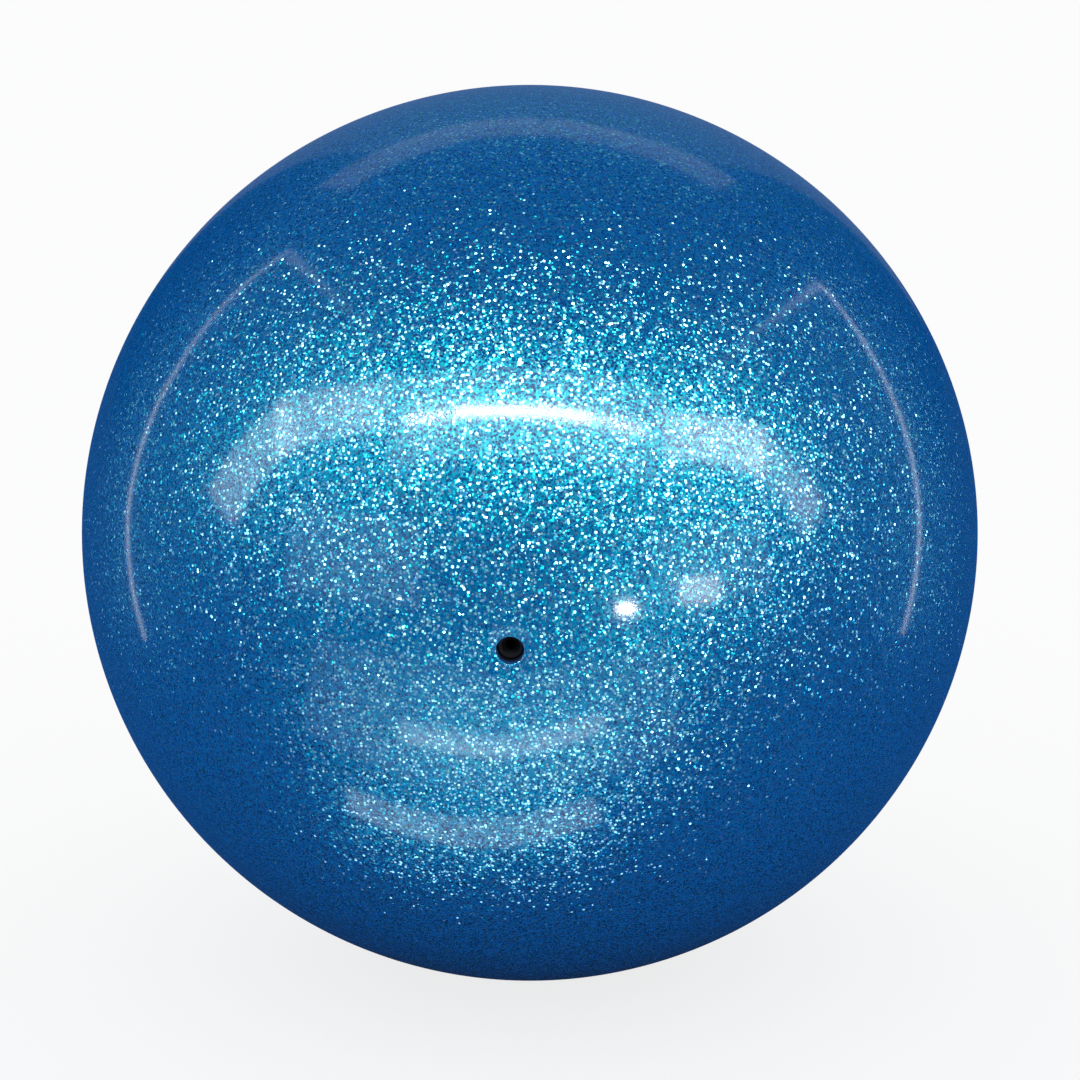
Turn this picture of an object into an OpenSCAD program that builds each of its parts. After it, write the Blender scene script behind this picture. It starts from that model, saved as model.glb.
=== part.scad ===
// Rhythmic gymnastics ball: a hollow blue rubber ball under a glossy glitter skin, with a
// recessed inflation valve. The valve is a black rubber housing bonded inside the wall and a
// removable needle core that pushes into it from outside.
// The origin is the ball's centre. The valve axis runs out of the ball along -Y.

/* [Ball] */
// Outer diameter of the ball
ball_d = 190; // [180:1:200]
// Thickness of the clear skin that carries the glitter
skin_t = 0.4; // [0.3:0.05:0.6]
// Thickness of the rubber wall under the skin
wall_t = 2.7; // [2.2:0.1:3.5]

/* [Valve mouth] */
// Diameter of the hole through skin and wall, and of the pocket behind it
mouth_d = 5; // [4.4:0.1:6]
// Radius that rounds the skin's edge into the mouth
mouth_edge_r = 0.3; // [0.1:0.05:0.5]
// Diameter of the shallow dish round the mouth
dish_d = 10; // [8:0.5:14]
// How far the dish's floor would lie under the ball's surface, on the valve axis
dish_depth = 0.6; // [0.45:0.05:0.9]
// Radius that blends the dish's edge into the ball
dish_edge_r = 6; // [2:0.5:10]

/* [Valve housing] */
// Diameter of the flange bonded to the inside of the wall
flange_d = 28; // [24:1:36]
// Thickness of the flange at its outer edge. It is thicker towards the middle, as its inner
// face is flat.
flange_edge_t = 0.6; // [0.3:0.1:1]
// Diameter of the boss that holds the core
boss_d = 11; // [9:0.5:16]
// Thickness of the boss's floor, which the core's shoulder rests on
floor_t = 2; // [1.5:0.1:3]
// Radius of the fillet between boss and flange
boss_fillet_r = 1.5; // [0.5:0.25:2.5]
// Radius that rounds the boss's lower edge
boss_edge_r = 0.8; // [0.2:0.1:1.2]

/* [Valve core] */
// Length of the core's barrel, from its top to its shoulder
barrel_l = 8; // [6:0.5:12]
// How far the top of the core lies below the inside of the wall
core_recess = 0.6; // [0.2:0.1:2]
// Radial clearance between barrel and pocket
barrel_gap = 0.05; // [0.02:0.01:0.1]
// Radius that rounds the barrel's two ends
barrel_edge_r = 0.3; // [0.1:0.05:0.4]
// Number of sealing grooves round the barrel
groove_count = 3; // [1:1:4]
// Radius of each half-round groove
groove_r = 0.35; // [0.2:0.05:0.45]
// Diameter of the nose that passes through the boss's floor
nose_d = 3; // [2.7:0.1:3.4]
// How far the nose reaches past the boss's floor, to the tip of the lips
nose_reach = 4; // [3.5:0.5:7]
// Radial clearance between nose and floor
nose_gap = 0.1; // [0.05:0.05:0.2]
// Length over which the nose flattens into two lips
lip_l = 3; // [2:0.5:3.5]
// Thickness across both lips at their tip
lip_t = 0.9; // [0.7:0.05:1.3]
// Width of the slit between the lips
slit_t = 0.12; // [0.08:0.02:0.2]
// Diameter of the needle channel
needle_d = 1.9; // [1.7:0.05:2]
// Diameter of the funnel that guides the needle in
funnel_d = 3.4; // [2.6:0.1:3.6]
// Depth of the funnel
funnel_l = 1.1; // [0.6:0.1:1.6]

/* [Hidden] */
$fn = 192;
over = 0.5; // how far a cutter reaches past what it cuts

SKIN_BLUE = [0.05, 0.42, 0.72];
WALL_BLUE = [0.02, 0.26, 0.55];
HOUSING_BLACK = [0.10, 0.10, 0.11];
CORE_BLACK = [0.15, 0.15, 0.16];

ball_r = ball_d / 2;
inner_r = ball_r - skin_t - wall_t;
mouth_r = mouth_d / 2;

// The dish is a sphere that bites into the ball. Its rim lies on the ball's surface.
dish_rim_z = sqrt(pow(ball_r, 2) - pow(dish_d / 2, 2));
dish_floor_z = ball_r - dish_depth;
dish_sag = dish_rim_z - dish_floor_z;
dish_r = (pow(dish_d / 2, 2) + pow(dish_sag, 2)) / (2 * dish_sag);
dish_z = dish_floor_z + dish_r;

// The ring that blends the dish's edge touches ball and dish from inside the ball.
blend_z = (pow(ball_r - dish_edge_r, 2) - pow(dish_r + dish_edge_r, 2) + pow(dish_z, 2))
    / (2 * dish_z);
blend_x = sqrt(pow(ball_r - dish_edge_r, 2) - pow(blend_z, 2));

// The ring that rounds the skin into the mouth is never thicker than the skin.
mouth_round = min(mouth_edge_r, 0.9 * skin_t);
mouth_round_x = mouth_r + mouth_round;
mouth_round_z = dish_z - sqrt(pow(dish_r + mouth_round, 2) - pow(mouth_round_x, 2));

// Heights along the valve axis, from the ball's centre outwards
core_top_z = inner_r - core_recess;
shoulder_z = core_top_z - barrel_l;
boss_end_z = shoulder_z - floor_t;
lip_tip_z = boss_end_z - nose_reach;
lip_start_z = lip_tip_z + lip_l;

// Valve radii
flange_r = flange_d / 2;
boss_r = boss_d / 2;
barrel_r = mouth_r - barrel_gap;
nose_r = nose_d / 2;
floor_hole_r = nose_r + nose_gap;
needle_r = needle_d / 2;

// Height of the flange's flat inner face
flange_z = sqrt(pow(inner_r, 2) - pow(flange_r, 2)) - flange_edge_t;

// Point at a distance from one point, towards another
function towards(from, to, distance) = from + (to - from) * distance / norm(to - from);

// Turns what is drawn along +Z to the valve axis, -Y
module along_valve() {
    rotate([90, 0, 0]) children();
}

// Spins a half profile about the valve axis
module spin() {
    along_valve() rotate_extrude() children();
}

// The right half of the plane, from height low to height high
module right_half(low, high) {
    translate([0, low]) square([2 * ball_r, high - low]);
}

// What rounds a right-angled outer corner at [x, z]. It lies towards -X from the corner, and
// towards +Z or -Z as side says.
module corner_waste(x, z, radius, side) {
    translate([x - radius, side > 0 ? z : z - radius])
        difference() {
            square(radius);
            translate([0, side > 0 ? radius : 0]) circle(radius);
        }
}

// What the blend takes off the edge between ball and dish, with its ring shrunk by inset
module dish_edge_waste(inset) {
    ring = [blend_x, blend_z];
    reach = dish_edge_r + over;
    on_ball = towards([0, 0], ring, norm(ring) + reach);
    on_dish = towards(ring, [0, dish_z], reach);
    difference() {
        polygon([ring, on_ball, on_dish]);
        translate(ring) circle(dish_edge_r - inset);
    }
}

// Half profile of the solid ball with its dish, inset all over
module ball_profile(inset) {
    difference() {
        intersection() {
            circle(ball_r - inset);
            right_half(-ball_r, ball_r);
        }
        translate([0, dish_z]) circle(dish_r + inset);
        dish_edge_waste(inset);
    }
}

// What rounds the skin into the mouth
module mouth_edge_waste() {
    ring = [mouth_round_x, mouth_round_z];
    outside = towards(ring, [0, dish_z], mouth_round + over);
    difference() {
        polygon([
            ring,
            outside,
            [mouth_r - over, outside.y],
            [mouth_r - over, ring.y]
        ]);
        translate(ring) circle(mouth_round);
    }
}

// The hole through skin and wall
module mouth() {
    translate([0, inner_r - over]) square([mouth_r, ball_r - inner_r + 2 * over]);
}

module glitter_skin() {
    color(SKIN_BLUE)
        spin() difference() {
            ball_profile(0);
            ball_profile(skin_t);
            mouth();
            mouth_edge_waste();
        }
}

module ball_wall() {
    color(WALL_BLUE)
        spin() difference() {
            ball_profile(skin_t);
            circle(inner_r);
            mouth();
        }
}

// Half profile of the disc that is bonded to the inside of the wall
module flange_profile() {
    intersection() {
        circle(inner_r);
        translate([0, flange_z]) square([flange_r, inner_r]);
    }
}

// Half profile of the boss, from its end up into the flange
module boss_profile() {
    difference() {
        translate([0, boss_end_z]) square([boss_r, flange_z + flange_edge_t / 2 - boss_end_z]);
        corner_waste(boss_r, boss_end_z, boss_edge_r, 1);
    }
}

// Half profile of the fillet between boss and flange
module boss_fillet_profile() {
    ring = [boss_r + boss_fillet_r, flange_z - boss_fillet_r];
    difference() {
        translate([boss_r - over, ring.y])
            square([boss_fillet_r + over, boss_fillet_r + flange_edge_t / 2]);
        translate(ring) circle(boss_fillet_r);
    }
}

module valve_housing() {
    color(HOUSING_BLACK)
        spin() difference() {
            union() {
                flange_profile();
                boss_profile();
                boss_fillet_profile();
            }
            translate([0, shoulder_z]) square([mouth_r, ball_r]);
            translate([0, boss_end_z - over]) square([floor_hole_r, floor_t + 2 * over]);
        }
}

// Half profile of the core: a grooved barrel that steps down to the nose
module core_profile() {
    pitch = barrel_l / (groove_count + 1);
    difference() {
        union() {
            translate([0, shoulder_z]) square([barrel_r, barrel_l]);
            translate([0, lip_tip_z]) square([nose_r, shoulder_z - lip_tip_z + over]);
        }
        corner_waste(barrel_r, core_top_z, barrel_edge_r, -1);
        corner_waste(barrel_r, shoulder_z, barrel_edge_r, 1);
        for (i = [1:groove_count])
            translate([barrel_r, shoulder_z + i * pitch]) circle(groove_r);
    }
}

// Half profile of the needle channel and its funnel
module needle_profile() {
    translate([0, lip_start_z]) square([needle_r, core_top_z - lip_start_z + over]);
    polygon([
        [0, core_top_z - funnel_l],
        [needle_r, core_top_z - funnel_l],
        [funnel_d / 2, core_top_z],
        [funnel_d / 2, core_top_z + over],
        [0, core_top_z + over]
    ]);
}

// What flattens one side of the nose into a lip
module lip_waste() {
    slope = (nose_r - lip_t / 2) / lip_l;
    rotate([90, 0, 0])
        linear_extrude(nose_d + 2 * over, center = true)
            polygon([
                [nose_r, lip_start_z],
                [nose_r + over, lip_start_z],
                [nose_r + over, lip_tip_z - over],
                [lip_t / 2 - slope * over, lip_tip_z - over]
            ]);
}

// The self-sealing slit, from the end of the channel out between the lips
module slit() {
    translate([-slit_t / 2, -needle_r, lip_tip_z - over])
        cube([slit_t, needle_d, lip_l + 2 * over]);
}

module valve_core() {
    color(CORE_BLACK)
        difference() {
            spin() difference() {
                core_profile();
                needle_profile();
            }
            along_valve() {
                lip_waste();
                mirror([1, 0, 0]) lip_waste();
                slit();
            }
        }
}

glitter_skin();
ball_wall();
valve_housing();
valve_core();
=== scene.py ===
"""Looks of a rhythmic gymnastics ball: a soft PVC glitter skin over a blue rubber wall.

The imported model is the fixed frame. The skin and the wall are remade here as fine surfaces of
revolution about the valve axis, which runs out of the ball along -Y. The valve's two rubber
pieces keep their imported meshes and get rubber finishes. Lengths in the classes are millimetres,
as on a drawing, and the meshes are metres.
"""

from __future__ import annotations

import logging
import math
from dataclasses import dataclass, field
from enum import Enum

import bpy
import numpy as np
from mathutils import Matrix, Vector

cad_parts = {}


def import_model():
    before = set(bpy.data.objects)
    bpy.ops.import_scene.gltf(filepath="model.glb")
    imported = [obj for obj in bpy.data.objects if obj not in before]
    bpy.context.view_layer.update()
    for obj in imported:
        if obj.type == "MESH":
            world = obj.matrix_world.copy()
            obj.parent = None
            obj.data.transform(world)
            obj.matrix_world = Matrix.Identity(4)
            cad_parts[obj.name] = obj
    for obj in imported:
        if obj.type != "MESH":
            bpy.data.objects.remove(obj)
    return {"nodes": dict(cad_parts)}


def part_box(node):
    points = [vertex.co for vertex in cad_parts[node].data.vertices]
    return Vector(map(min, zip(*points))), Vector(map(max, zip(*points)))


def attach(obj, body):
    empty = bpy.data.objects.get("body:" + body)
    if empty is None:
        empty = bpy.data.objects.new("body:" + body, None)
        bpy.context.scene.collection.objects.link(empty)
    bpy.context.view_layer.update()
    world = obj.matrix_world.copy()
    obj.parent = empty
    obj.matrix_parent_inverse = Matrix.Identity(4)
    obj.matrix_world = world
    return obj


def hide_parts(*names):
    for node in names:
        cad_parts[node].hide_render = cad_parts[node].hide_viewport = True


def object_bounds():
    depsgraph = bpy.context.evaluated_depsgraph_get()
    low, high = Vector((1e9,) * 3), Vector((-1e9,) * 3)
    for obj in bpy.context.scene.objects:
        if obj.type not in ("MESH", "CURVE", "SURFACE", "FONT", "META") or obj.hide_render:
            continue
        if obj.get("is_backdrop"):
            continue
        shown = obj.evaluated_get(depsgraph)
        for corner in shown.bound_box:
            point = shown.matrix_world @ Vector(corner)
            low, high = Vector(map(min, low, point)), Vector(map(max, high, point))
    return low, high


MM = 0.001
log = logging.getLogger("rhythmic_ball")


def linear(hex_colour: str) -> tuple[float, float, float, float]:
    """Turns an sRGB colour into the linear colour that shaders take.

    Args:
        hex_colour: Six hex digits after a hash, such as "#0a5ca8".

    Returns:
        Linear red, green, blue and an alpha of 1.
    """
    digits = hex_colour.lstrip("#")
    parts = [int(digits[i : i + 2], 16) / 255 for i in (0, 2, 4)]
    red, green, blue = [c / 12.92 if c <= 0.04045 else ((c + 0.055) / 1.055) ** 2.4 for c in parts]
    return red, green, blue, 1.0


class Tree:
    """A material's or the world's node tree, with a short way to add linked nodes."""

    def __init__(self, owner: bpy.types.Material | bpy.types.World) -> None:
        """Empties the owner's node tree.

        Args:
            owner: The material or world whose nodes are to be written.
        """
        owner.use_nodes = True
        self.nodes = owner.node_tree.nodes
        self.links = owner.node_tree.links
        self.nodes.clear()

    def add(self, kind: str, settings: dict | None = None, **inputs: object) -> bpy.types.Node:
        """Adds one node with its settings, and fills or links its input sockets.

        Args:
            kind: The node's type without its "ShaderNode" prefix.
            settings: Attributes of the node itself, such as {"operation": "MULTIPLY"}.
            **inputs: Sockets by name, with spaces written as underscores, or by number after an
                "i". A value is set on the socket, and an output socket is linked to it.

        Returns:
            The new node.
        """
        node = self.nodes.new("ShaderNode" + kind)
        for name, value in (settings or {}).items():
            setattr(node, name, value)
        for name, value in inputs.items():
            key = int(name[1:]) if name[1:].isdigit() else name.replace("_", " ")
            socket = node.inputs[key]
            if isinstance(value, bpy.types.NodeSocket):
                self.links.new(value, socket)
            else:
                socket.default_value = value
        return node


# ---------------------------------------------------------------------------------------------
# Finishes
# ---------------------------------------------------------------------------------------------


@dataclass(frozen=True)
class FlakeLayer:
    """One depth of round flakes in the clear skin, with sizes in millimetres.

    The flakes are the balls of a Voronoi pattern in space, cut by the skin, so each shows as a disc
    of its own size. Each leans its own way, and is either silver or clear over the ground. Real
    flakes go down to 0.1 mm. These are drawn about as coarse as the coarsest, so that they show.
    """

    pitch: float
    radius: float
    lean: float
    clear: str
    silver: str
    outer_edge: float = 1.12
    inner_edge: float = 0.78


@dataclass(frozen=True)
class GlitterPvc:
    """Soft PVC skin, cast clear over blue and filled with round silver-blue polyester glitter.

    The eye sees a deep blue ground, flakes that flash white where one happens to face a lamp and
    vanish where it doesn't, and over both the sharp reflections of a smooth clear surface. The
    buried flakes are duller and bluer, because they are seen through blue PVC. The clear flakes
    have the titania film of pearl glitter, so the index is titania's and their gloss is turquoise.
    The coat is the clear PVC on top, with the slight ripple of its casting.
    """

    ground: str = "#0050a4"
    ground_roughness: float = 0.35
    flake_roughness: float = 0.2
    top: FlakeLayer = FlakeLayer(pitch=0.56, radius=0.3, lean=0.5, clear="#0050a4", silver="#a2ecf2")
    buried: FlakeLayer = FlakeLayer(pitch=0.48, radius=0.24, lean=0.5, clear="#0050a4", silver="#34bcd8")
    silver_share: float = 0.7
    shade_spread: float = 0.3
    hue_falloff: float = 3.0
    film_ior: float = 2.4
    film_gloss: str = "#20fff0"
    coat_weight: float = 0.8
    coat_roughness: float = 0.1
    coat_ior: float = 1.55
    peel_mm: float = 2.5
    peel_depth_mm: float = 0.002

    def flakes(
        self, tree: Tree, place: bpy.types.NodeSocket, layer: FlakeLayer
    ) -> tuple[bpy.types.NodeSocket, ...]:
        """Adds one layer of flakes.

        The mask falls smoothly from 1 to 0 between two shares of the flake's radius. Colour is the
        clear or silver hue times a random shade round 1.

        Args:
            tree: The material's tree.
            place: Object coordinates.
            layer: The layer's sizes and colours.

        Returns:
            Sockets: a mask that is 1 on a flake, the vector that leans its normal, its colour, and
            how metallic it is.
        """
        cells = tree.add("TexVoronoi", Vector=place, Scale=1 / (layer.pitch * MM), Randomness=1.0).outputs
        reach = layer.radius / layer.pitch
        mask = tree.add(
            "MapRange",
            {"interpolation_type": "SMOOTHSTEP"},
            Value=cells["Distance"],
            From_Min=reach * layer.outer_edge,
            From_Max=reach * layer.inner_edge,
        )
        # A flake's own random numbers, each from 0 to 1, come from its cell.
        chance = tree.add("TexWhiteNoise", {"noise_dimensions": "3D"}, Vector=cells["Position"]).outputs
        # Two random vectors from 0 to 1 added up lean most flakes a little and few of them far.
        throws = tree.add("VectorMath", {"operation": "ADD"}, i0=cells["Color"], i1=chance["Color"])
        lean = tree.add(
            "VectorMath",
            {"operation": "MULTIPLY_ADD"},
            i0=throws.outputs["Vector"],
            i1=(layer.lean,) * 3,
            i2=(-layer.lean,) * 3,
        )
        metallic = tree.add(
            "Math", {"operation": "LESS_THAN"}, i0=chance["Value"], i1=self.silver_share
        ).outputs["Value"]
        hue = tree.add(
            "Mix", {"data_type": "RGBA"}, i0=metallic, i6=linear(layer.clear), i7=linear(layer.silver)
        )
        shade = tree.add(
            "VectorMath",
            {"operation": "MULTIPLY_ADD"},
            i0=chance["Color"],
            i1=(self.shade_spread,) * 3,
            i2=(1 - self.shade_spread / 2,) * 3,
        )
        colour = tree.add(
            "VectorMath", {"operation": "MULTIPLY"}, i0=hue.outputs[2], i1=shade.outputs["Vector"]
        )
        return mask.outputs["Result"], lean.outputs["Vector"], colour.outputs["Vector"], metallic

    def material(self) -> bpy.types.Material:
        """Builds the material.

        Returns:
            One Principled shader, whose colour, metallic, roughness and normal come from the flakes.
        """
        material = bpy.data.materials.new("glitter_pvc")
        tree = Tree(material)
        place = tree.add("TexCoord").outputs["Object"]
        top_mask, top_lean, top_colour, top_metallic = self.flakes(tree, place, self.top)
        low_mask, low_lean, low_colour, low_metallic = self.flakes(tree, place, self.buried)
        # The ground lies level, a buried flake leans on it, and a top flake hides both.
        level = (0.0, 0.0, 0.0)
        low = tree.add("Mix", {"data_type": "VECTOR"}, i0=low_mask, i4=level, i5=low_lean).outputs[1]
        lean = tree.add("Mix", {"data_type": "VECTOR"}, i0=top_mask, i4=low, i5=top_lean).outputs[1]
        surface = tree.add("NewGeometry").outputs["Normal"]
        leaning = tree.add("VectorMath", {"operation": "ADD"}, i0=surface, i1=lean).outputs["Vector"]
        normal = tree.add("VectorMath", {"operation": "NORMALIZE"}, i0=leaning).outputs["Vector"]
        # A flake's colour starts further in than its metal, so that no pale rim shows round it.
        inner = tree.add("Math", {"operation": "POWER"}, i0=low_mask, i1=self.hue_falloff).outputs["Value"]
        low = tree.add("Mix", {"data_type": "RGBA"}, i0=inner, i6=linear(self.ground), i7=low_colour)
        inner = tree.add("Math", {"operation": "POWER"}, i0=top_mask, i1=self.hue_falloff).outputs["Value"]
        colour = tree.add("Mix", {"data_type": "RGBA"}, i0=inner, i6=low.outputs[2], i7=top_colour)
        low = tree.add("Math", {"operation": "MULTIPLY"}, i0=low_mask, i1=low_metallic).outputs["Value"]
        metallic = tree.add("Mix", {"data_type": "FLOAT"}, i0=top_mask, i2=low, i3=top_metallic)
        flake = tree.add("Math", {"operation": "MAXIMUM"}, i0=top_mask, i1=low_mask).outputs["Value"]
        roughness = tree.add(
            "MapRange", Value=flake, To_Min=self.ground_roughness, To_Max=self.flake_roughness
        )
        peel = tree.add("TexNoise", Vector=place, Scale=1 / (self.peel_mm * MM), Detail=1.0)
        skin = tree.add("Bump", Height=peel.outputs["Fac"], Strength=1.0, Distance=self.peel_depth_mm * MM)
        shader = tree.add(
            "BsdfPrincipled",
            Base_Color=colour.outputs[2],
            Metallic=metallic.outputs[0],
            Roughness=roughness.outputs["Result"],
            IOR=self.film_ior,
            Specular_Tint=linear(self.film_gloss),
            Normal=normal,
            Coat_Weight=self.coat_weight,
            Coat_Roughness=self.coat_roughness,
            Coat_IOR=self.coat_ior,
            Coat_Normal=skin.outputs["Normal"],
        )
        tree.add("OutputMaterial", Surface=shader.outputs["BSDF"])
        return material


@dataclass(frozen=True)
class MouldedRubber:
    """Compression-moulded rubber: matt, with the fine grain of a sand-blasted mould.

    The eye sees a soft sheen that breaks up over the grain, and faint cloudy marks where the
    mould release dried.
    """

    name: str
    colour: str
    roughness: float = 0.5
    grain_mm: float = 0.25
    grain_depth_mm: float = 0.01
    cloud_mm: float = 4.0
    cloud_range: tuple[float, float] = (0.3, 0.7)
    cloud_shade: float = 0.08
    ior: float = 1.52

    def material(self) -> bpy.types.Material:
        """Builds the material.

        Returns:
            One Principled shader with grain in its bump and clouds in its roughness and colour.
        """
        material = bpy.data.materials.new(self.name)
        tree = Tree(material)
        place = tree.add("TexCoord").outputs["Object"]
        grain = tree.add("TexNoise", Vector=place, Scale=1 / (self.grain_mm * MM), Detail=3.0)
        cloud = tree.add("TexNoise", Vector=place, Scale=1 / (self.cloud_mm * MM), Detail=2.0)
        shade = tree.add(
            "MapRange",
            Value=cloud.outputs["Fac"],
            From_Min=self.cloud_range[0],
            From_Max=self.cloud_range[1],
            To_Min=1 - self.cloud_shade,
            To_Max=1 + self.cloud_shade,
        ).outputs["Result"]
        colour = tree.add("VectorMath", {"operation": "SCALE"}, i0=linear(self.colour)[:3], Scale=shade)
        roughness = tree.add("Math", {"operation": "MULTIPLY"}, i0=shade, i1=self.roughness)
        bump = tree.add("Bump", Height=grain.outputs["Fac"], Strength=1.0, Distance=self.grain_depth_mm * MM)
        shader = tree.add(
            "BsdfPrincipled",
            Base_Color=colour.outputs["Vector"],
            Roughness=roughness.outputs["Value"],
            IOR=self.ior,
            Normal=bump.outputs["Normal"],
        )
        tree.add("OutputMaterial", Surface=shader.outputs["BSDF"])
        return material


# ---------------------------------------------------------------------------------------------
# Surfaces of revolution
# ---------------------------------------------------------------------------------------------


def arc(centre: tuple[float, float], radius: float, start: float, stop: float, count: int) -> np.ndarray:
    """Points along an arc in the profile plane.

    The angle t runs evenly from start to stop, in radians from the valve axis, and the point is
    the centre plus radius times (sin t, cos t): distance from the axis, then height along it.

    Args:
        centre: The arc's centre, as distance from the axis and height along it.
        radius: The arc's radius.
        start: Angle of the first point.
        stop: Angle of the last point.
        count: How many points.

    Returns:
        An array of count rows, each a distance and a height.
    """
    t = np.linspace(start, stop, count)
    return np.stack([centre[0] + radius * np.sin(t), centre[1] + radius * np.cos(t)], axis=1)


def bearing(centre: tuple[float, float], point: tuple[float, float]) -> float:
    """Angle of a point about a centre, as arc() measures it.

    Args:
        centre: The centre.
        point: The point.

    Returns:
        Radians from the valve axis.
    """
    return math.atan2(point[0] - centre[0], point[1] - centre[1])


def towards(start: tuple[float, float], end: tuple[float, float], distance: float) -> tuple[float, float]:
    """Point at a distance from start, on the line to end.

    Args:
        start: Where the line starts.
        end: A point on the line.
        distance: How far to go.

    Returns:
        The point.
    """
    span = math.dist(start, end)
    share = distance / span
    return start[0] + (end[0] - start[0]) * share, start[1] + (end[1] - start[1]) * share


def revolve(name: str, profile: np.ndarray, segments: int) -> bpy.types.Object:
    """Spins a profile about the valve axis into a closed mesh.

    Row i and turn j of the grid lie at x = r_i cos(a_j), y = -s_i, z = r_i sin(a_j), where r and
    s are the profile's distance and height and a_j is j full turns over the number of segments. A
    profile that starts or ends on the axis gets one vertex there and a fan of triangles. One that
    doesn't is closed upon itself, as a ring.

    Args:
        name: The object's name.
        profile: Rows of distance from the axis and height along it, in millimetres, in an order
            that keeps the solid on the right hand.
        segments: How many quads go round.

    Returns:
        A smooth-shaded object at the origin, linked to the scene.
    """
    on_axis = profile[:, 0] < 1e-9
    rings = profile[~on_axis] * MM
    turn = np.linspace(0, 2 * math.pi, segments, endpoint=False)
    radius, height = rings[:, 0, None], rings[:, 1, None]
    grid = np.stack(
        [radius * np.cos(turn), np.broadcast_to(-height, (len(rings), segments)), radius * np.sin(turn)],
        axis=2,
    ).reshape(-1, 3)
    index = np.arange(len(rings) * segments).reshape(len(rings), segments)
    first, last = index, np.roll(index, -1, axis=0)
    if on_axis.any():
        first, last = first[:-1], last[:-1]
    quads = np.stack(
        [first, np.roll(first, -1, axis=1), np.roll(last, -1, axis=1), last], axis=2
    ).reshape(-1, 4)
    faces = quads.tolist()
    points = grid.tolist()
    for pole, ring, turned in ((0, index[0], False), (-1, index[-1], True)):
        if not on_axis[pole]:
            continue
        points.append([0.0, -profile[pole, 1] * MM, 0.0])
        tip = np.full(segments, len(points) - 1)
        ahead = np.roll(ring, -1)
        fan = np.stack([tip, ring, ahead] if turned else [tip, ahead, ring], axis=1)
        faces += fan.tolist()
    mesh = bpy.data.meshes.new(name)
    mesh.from_pydata(points, [], faces)
    mesh.polygons.foreach_set("use_smooth", np.ones(len(faces), bool))
    mesh.update()
    thing = bpy.data.objects.new(name, mesh)
    bpy.context.scene.collection.objects.link(thing)
    return thing


@dataclass
class BallShell:
    """The skin and the wall, with the dish and the mouth that lead to the valve."""

    ball_r: float
    skin_t: float = 0.4
    wall_t: float = 2.7
    mouth_r: float = 2.5
    mouth_edge_r: float = 0.3
    dish_r: float = 5.0
    dish_depth: float = 0.6
    dish_edge_r: float = 6.0
    segments: int = 288
    ball_rows: int = 150
    hidden_rows: int = 50
    blend_rows: int = 14
    dish_rows: int = 10
    lip_rows: int = 10
    dish: tuple[float, float] = field(init=False)
    dish_sphere_r: float = field(init=False)
    blend: tuple[float, float] = field(init=False)

    def __post_init__(self) -> None:
        """Works out the dish's sphere and the ring that blends its edge into the ball."""
        rim = math.sqrt(self.ball_r**2 - self.dish_r**2)
        floor = self.ball_r - self.dish_depth
        sag = rim - floor
        self.dish_sphere_r = (self.dish_r**2 + sag**2) / (2 * sag)
        self.dish = (0.0, floor + self.dish_sphere_r)
        near, far = self.ball_r - self.dish_edge_r, self.dish_sphere_r + self.dish_edge_r
        height = (near**2 - far**2 + self.dish[1] ** 2) / (2 * self.dish[1])
        self.blend = (math.sqrt(near**2 - height**2), height)

    def outline(self, inset: float, rows: int) -> list[np.ndarray]:
        """The ball's surface from its back pole, over the blend and into the dish.

        A sphere about the ball's centre meets a ring that touches both spheres, which meets the
        dish's sphere. An inset moves all three inwards by the same distance.

        Args:
            inset: How far inside the outer surface, in millimetres.
            rows: How many points on the ball.

        Returns:
            The arcs, from the back pole to the dish at the mouth's radius.
        """
        on_ball = bearing((0.0, 0.0), self.blend)
        on_dish = bearing(self.blend, self.dish)
        dish_r = self.dish_sphere_r + inset
        start = bearing(self.dish, towards(self.blend, self.dish, self.dish_edge_r))
        stop = math.pi - math.asin(self.mouth_r / dish_r)
        return [
            arc((0.0, 0.0), self.ball_r - inset, math.pi, on_ball, rows),
            arc(self.blend, self.dish_edge_r - inset, on_ball, on_dish, self.blend_rows)[1:],
            arc(self.dish, dish_r, start, stop, self.dish_rows)[1:],
        ]

    def skin(self) -> bpy.types.Object:
        """Makes the glitter skin, rounded where it meets the mouth, and gives it its finish.

        The profile runs over the outer surface, round the lip on a quarter circle that touches the
        dish and the mouth, and back along the inner surface.

        Returns:
            The skin.
        """
        edge = self.mouth_edge_r
        ring_x = self.mouth_r + edge
        ring = (ring_x, self.dish[1] - math.sqrt((self.dish_sphere_r + edge) ** 2 - ring_x**2))
        outer = self.outline(0.0, self.ball_rows)
        touch = towards(ring, self.dish, edge)
        dish_part = outer[2]
        outer[2] = dish_part[dish_part[:, 0] > touch[0]]
        lip = arc(ring, edge, bearing(ring, self.dish), -math.pi / 2, self.lip_rows)
        inner = self.outline(self.skin_t, self.hidden_rows)
        profile = np.concatenate(outer + [lip] + [part[::-1] for part in inner[::-1]])
        skin = revolve("skin", profile, self.segments)
        skin.data.materials.append(GlitterPvc().material())
        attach(skin, "ball")
        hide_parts("glitter_skin")
        return skin

    def wall(self) -> bpy.types.Object:
        """Makes the rubber wall under the skin, and gives it its finish.

        The profile runs over the outer surface, down the mouth and back along a plain sphere.

        Returns:
            The wall.
        """
        inner_r = self.ball_r - self.skin_t - self.wall_t
        outer = self.outline(self.skin_t, self.hidden_rows)
        inner = arc((0.0, 0.0), inner_r, math.asin(self.mouth_r / inner_r), math.pi, self.hidden_rows)
        wall = revolve("wall", np.concatenate(outer + [inner]), self.segments // 2)
        wall.data.materials.append(MouldedRubber("blue_rubber", "#0a4a92", roughness=0.42).material())
        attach(wall, "ball")
        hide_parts("ball_wall")
        return wall


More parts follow.
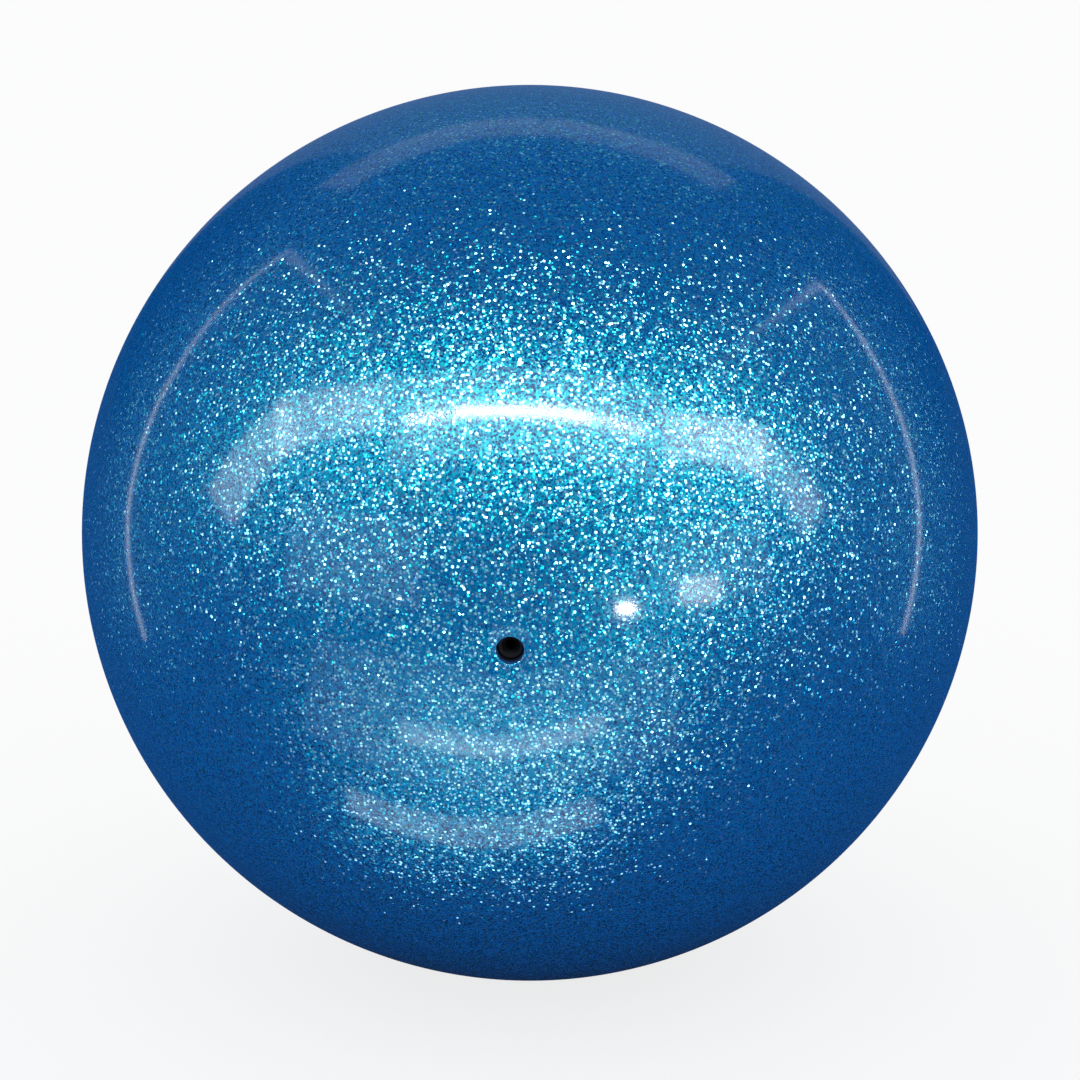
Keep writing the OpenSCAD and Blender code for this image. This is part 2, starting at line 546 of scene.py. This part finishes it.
@dataclass(frozen=True)
class Valve:
    """The valve's two rubber pieces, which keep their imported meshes."""

    nodes: tuple[str, ...] = ("valve_housing", "valve_core")
    finish: MouldedRubber = MouldedRubber("black_rubber", "#151517")

    def dress(self, packed: dict[str, bpy.types.Object]) -> list[bpy.types.Object]:
        """Gives both pieces the rubber finish.

        Args:
            packed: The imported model's objects by node name.

        Returns:
            The two pieces.
        """
        rubber = self.finish.material()
        pieces = [packed[node] for node in self.nodes]
        for piece in pieces:
            piece.data.materials.clear()
            piece.data.materials.append(rubber)
        return pieces


# ---------------------------------------------------------------------------------------------
# Studio
# ---------------------------------------------------------------------------------------------


class Edge(Enum):
    """How a lamp's light ends: the number of strips of growing width it is laid up from."""

    SHARP = 1
    SOFT = 3


@dataclass(frozen=True)
class LampLine:
    """A strip lamp along a line of points, turned towards the ball's middle.

    Points and width are in metres. Radiance is what a mirror would show, where 1 is white.
    """

    name: str
    points: tuple[tuple[float, float, float], ...]
    width: float
    radiance: float
    edge: Edge = Edge.SHARP

    def build(self) -> None:
        """Hangs one flat lamp along each leg of the line, or several over each other.

        A soft line is three strips, a third, the whole and five thirds of the width wide, with a
        third of the radiance each. Their ends reach past the line by as much as their sides do.
        """
        for layer in range(self.edge.value):
            reach = (2 * layer + 1) / self.edge.value
            for leg, (start, end) in enumerate(zip(self.points, self.points[1:])):
                ends = [Vector(start), Vector(end)]
                along = (ends[1] - ends[0]).normalized()
                overhang = along * (reach - 1) * self.width / 2
                if leg == 0:
                    ends[0] -= overhang
                if leg == len(self.points) - 2:
                    ends[1] += overhang
                self.strip(f"{self.name}_{leg}_{layer}", ends, self.width * reach)

    def strip(self, name: str, ends: list[Vector], width: float) -> None:
        """Hangs one flat lamp, which shows only in the gloss.

        A lamp's power is its radiance times its area times pi, as for any flat lamp.

        Args:
            name: Name for the lamp.
            ends: The two ends of its middle line.
            width: Its width across that line, in metres.
        """
        middle = (ends[0] + ends[1]) / 2
        along = (ends[1] - ends[0]).normalized()
        back = (middle - along * middle.dot(along)).normalized()
        side = back.cross(along)
        data = bpy.data.lights.new(name, "AREA")
        data.shape = "RECTANGLE"
        data.size = (ends[1] - ends[0]).length
        data.size_y = width
        data.energy = self.radiance / self.edge.value * data.size * data.size_y * math.pi
        lamp = bpy.data.objects.new(name, data)
        lamp.matrix_world = Matrix(
            [[along[i], side[i], back[i], middle[i]] for i in range(3)] + [[0.0, 0.0, 0.0, 1.0]]
        )
        lamp.visible_camera = False
        lamp.visible_diffuse = False
        bpy.context.scene.collection.objects.link(lamp)


# The line of the long lamp in front, which the bar and the glow round it both follow
FRONT_LINE = (
    (-0.528, -0.808, 0.693),
    (-0.308, -0.865, 0.757),
    (0.034, -0.899, 0.781),
    (0.308, -0.878, 0.744),
    (0.55, -0.822, 0.661),
)

LAMPS = (
    LampLine(
        "front_bar",
        FRONT_LINE,
        width=0.045,
        radiance=40.0,
    ),
    LampLine(
        "front_glow",
        FRONT_LINE,
        width=0.26,
        radiance=5.2,
        edge=Edge.SOFT,
    ),
    LampLine(
        "left_bar",
        (
            (-0.804, -0.347, 0.434),
            (-0.681, -0.471, 0.527),
            (-0.531, -0.579, 0.595),
        ),
        width=0.12,
        radiance=10.0,
        edge=Edge.SOFT,
    ),
    LampLine(
        "right_bar",
        (
            (0.543, -0.641, 0.521),
            (0.68, -0.536, 0.469),
            (0.798, -0.417, 0.391),
        ),
        width=0.11,
        radiance=18.0,
        edge=Edge.SOFT,
    ),
    LampLine(
        "left_end",
        (
            (-0.736, -0.198, 0.121),
            (-0.697, -0.241, 0.238),
            (-0.632, -0.296, 0.344),
        ),
        width=0.09,
        radiance=8.0,
        edge=Edge.SOFT,
    ),
    LampLine(
        "right_end",
        (
            (0.634, -0.337, 0.307),
            (0.693, -0.283, 0.213),
            (0.729, -0.242, 0.109),
        ),
        width=0.08,
        radiance=5.5,
        edge=Edge.SOFT,
    ),
    LampLine(
        "low_front",
        (
            (-0.071, -0.173, -0.09),
            (-0.011, -0.172, -0.09),
            (0.055, -0.193, -0.09),
        ),
        width=0.014,
        radiance=6.5,
        edge=Edge.SOFT,
    ),
    LampLine(
        "low_patch",
        (
            (-0.11, -0.14, -0.09),
            (0.07, -0.15, -0.09),
        ),
        width=0.08,
        radiance=1.1,
        edge=Edge.SOFT,
    ),
    LampLine(
        "low_near",
        (
            (-0.067, -0.103, -0.09),
            (-0.014, -0.108, -0.09),
            (0.029, -0.118, -0.09),
        ),
        width=0.012,
        radiance=4.5,
        edge=Edge.SOFT,
    ),
    LampLine(
        "left_edge",
        (
            (-0.17, -0.02, -0.045),
            (-0.17, -0.006, 0.01),
            (-0.17, 0.0, 0.08),
            (-0.17, 0.023, 0.198),
        ),
        width=0.004,
        radiance=2.6,
    ),
    LampLine(
        "right_edge",
        (
            (0.17, -0.024, -0.04),
            (0.17, -0.008, 0.018),
            (0.17, 0.009, 0.081),
            (0.17, 0.031, 0.144),
        ),
        width=0.004,
        radiance=3.2,
    ),
    LampLine(
        "left_top",
        (
            (-0.194, 0.029, 0.22),
            (-0.285, -0.074, 0.371),
            (-0.393, -0.307, 0.601),
        ),
        width=0.008,
        radiance=1.1,
    ),
    LampLine(
        "right_top",
        (
            (0.218, 0.065, 0.181),
            (0.341, -0.059, 0.323),
            (0.481, -0.343, 0.514),
        ),
        width=0.008,
        radiance=1.3,
    ),
    LampLine(
        "left_low",
        (
            (-0.88, -0.72, -0.01),
            (-0.55, -0.99, -0.01),
        ),
        width=0.35,
        radiance=2.0,
        edge=Edge.SOFT,
    ),
    LampLine(
        "right_low",
        (
            (0.66, -0.95, -0.02),
            (0.94, -0.66, -0.02),
        ),
        width=0.3,
        radiance=1.8,
        edge=Edge.SOFT,
    ),
    LampLine(
        "spot_near",
        (
            (0.214, -0.551, -0.043),
            (0.248, -0.535, -0.043),
        ),
        width=0.018,
        radiance=90.0,
    ),
    LampLine(
        "spot_far",
        (
            (0.346, -0.476, -0.017),
            (0.406, -0.428, -0.017),
        ),
        width=0.035,
        radiance=22.0,
        edge=Edge.SOFT,
    ),
    LampLine(
        "back_arch",
        (
            (-0.514, 0.627, 0.81),
            (-0.4, 0.672, 0.836),
            (-0.229, 0.722, 0.856),
            (-0.004, 0.745, 0.866),
            (0.178, 0.714, 0.877),
            (0.334, 0.703, 0.839),
            (0.457, 0.681, 0.8),
        ),
        width=0.12,
        radiance=1.0,
        edge=Edge.SOFT,
    ),
    LampLine(
        "back_wall",
        (
            (-0.25, 1.0, 0.45),
            (0.25, 1.0, 0.45),
        ),
        width=0.6,
        radiance=0.25,
        edge=Edge.SOFT,
    ),
)


@dataclass
class Studio:
    """A plain pale floor, a white background, lamps for the gloss, and the camera.

    A plain white world lights every colour evenly. What is mirrored is a dim blue room, as round
    the real ball, so the silver flakes melt into the ground wherever they don't face a lamp.
    """

    floor_z: float
    room_gloss: str = "#004488"
    floor_base: str = "#edeeef"
    floor_r_m: float = 14.0
    floor_sides: int = 96
    floor_white_seen: float = 0.8
    floor_white_mirrored: float = 0.01
    camera_azimuth_deg: float = 2.19
    camera_elevation_deg: float = 12.9
    camera_distance_m: float = 0.551
    lens_mm: float = 85.33
    aim_right_m: float = 0.00213
    aim_up_m: float = -0.00151
    sensor_mm: float = 36.0
    clip_start_m: float = 0.01

    def floor(self) -> bpy.types.Object:
        """Lays a round pale floor that keeps the ball's shadow.

        To the camera most of its light is plain white, so it meets the white background without a
        line. In the gloss it has the room's colour.

        Returns:
            The floor.
        """
        turn = np.linspace(0, 2 * math.pi, self.floor_sides, endpoint=False)
        across, along = self.floor_r_m * np.cos(turn), self.floor_r_m * np.sin(turn)
        points = np.stack([across, along, np.full(self.floor_sides, self.floor_z)], axis=1)
        mesh = bpy.data.meshes.new("floor")
        mesh.from_pydata(points.tolist(), [], [list(range(self.floor_sides))])
        floor = bpy.data.objects.new("floor", mesh)
        bpy.context.scene.collection.objects.link(floor)
        material = bpy.data.materials.new("pale_floor")
        tree = Tree(material)
        paths = tree.add("LightPath").outputs
        seen = tree.add(
            "Math", {"operation": "MULTIPLY"}, i0=paths["Is Camera Ray"], i1=self.floor_white_seen
        )
        mirrored = tree.add(
            "Math", {"operation": "ADD"}, i0=paths["Is Glossy Ray"], i1=paths["Is Transmission Ray"]
        )
        share = tree.add(
            "Math",
            {"operation": "MULTIPLY_ADD"},
            i0=mirrored.outputs["Value"],
            i1=self.floor_white_mirrored,
            i2=seen.outputs["Value"],
        )
        shade = tree.add(
            "Mix",
            {"data_type": "RGBA"},
            i0=mirrored.outputs["Value"],
            i6=linear(self.floor_base),
            i7=linear(self.room_gloss),
        )
        paint = tree.add("BsdfDiffuse", Color=shade.outputs[2])
        white = tree.add("Emission", Color=(1.0, 1.0, 1.0, 1.0), Strength=1.0)
        mixed = tree.add(
            "MixShader", i0=share.outputs["Value"], i1=paint.outputs["BSDF"], i2=white.outputs["Emission"]
        )
        tree.add("OutputMaterial", Surface=mixed.outputs["Shader"])
        material.cycles.emission_sampling = "NONE"
        mesh.materials.append(material)
        floor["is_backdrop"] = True
        return floor

    def world(self) -> None:
        """Makes the world plain white, to the camera and as light, and a dim blue room to the gloss."""
        world = bpy.data.worlds.new("studio")
        bpy.context.scene.world = world
        tree = Tree(world)
        paths = tree.add("LightPath").outputs
        mirrored = tree.add(
            "Math", {"operation": "ADD"}, i0=paths["Is Glossy Ray"], i1=paths["Is Transmission Ray"]
        )
        white = (1.0, 1.0, 1.0, 1.0)
        room = tree.add(
            "Mix",
            {"data_type": "RGBA"},
            i0=mirrored.outputs["Value"],
            i6=white,
            i7=linear(self.room_gloss),
        )
        seen = tree.add("Mix", {"data_type": "RGBA"}, i0=paths["Is Camera Ray"], i6=room.outputs[2], i7=white)
        light = tree.add("Background", Color=seen.outputs[2], Strength=1.0)
        world.cycles.sampling_method = "NONE"
        tree.add("OutputWorld", Surface=light.outputs["Background"])

    def lamps(self) -> None:
        """Hangs the lamps round the ball."""
        for lamp in LAMPS:
            lamp.build()

    def camera(self) -> bpy.types.Object:
        """Sets the camera up in front of the valve, a little above the ball's middle.

        Returns:
            The camera.
        """
        azimuth, elevation = math.radians(self.camera_azimuth_deg), math.radians(self.camera_elevation_deg)
        back = Vector(
            (
                math.sin(azimuth) * math.cos(elevation),
                -math.cos(azimuth) * math.cos(elevation),
                math.sin(elevation),
            )
        )
        right = Vector((0, 0, 1)).cross(back).normalized()
        up = back.cross(right)
        data = bpy.data.cameras.new("camera")
        data.lens = self.lens_mm
        data.sensor_width = self.sensor_mm
        data.clip_start = self.clip_start_m
        camera = bpy.data.objects.new("camera", data)
        camera.location = back * self.camera_distance_m
        aim = right * self.aim_right_m + up * self.aim_up_m
        camera.rotation_euler = (aim - camera.location).to_track_quat("-Z", "Y").to_euler()
        bpy.context.scene.collection.objects.link(camera)
        bpy.context.scene.camera = camera
        bpy.context.scene.view_settings.view_transform = "Standard"
        return camera


def main() -> None:
    """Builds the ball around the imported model, then its studio."""
    logging.basicConfig(level=logging.INFO, format="%(name)s: %(message)s")
    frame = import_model()
    cad_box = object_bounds()
    low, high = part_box("glitter_skin")
    ball_r = max(high - low) / 2 / MM
    shell = BallShell(ball_r)
    pieces = [shell.skin(), shell.wall(), *Valve().dress(frame["nodes"])]
    for piece in pieces:
        log.info("%s: %d faces", piece.name, len(piece.data.polygons))
    studio = Studio(cad_box[0][2])
    studio.floor()
    studio.world()
    studio.lamps()
    studio.camera()
    log.info("studio: %d lamp lines", len(LAMPS))


if __name__ == "__main__":
    main()
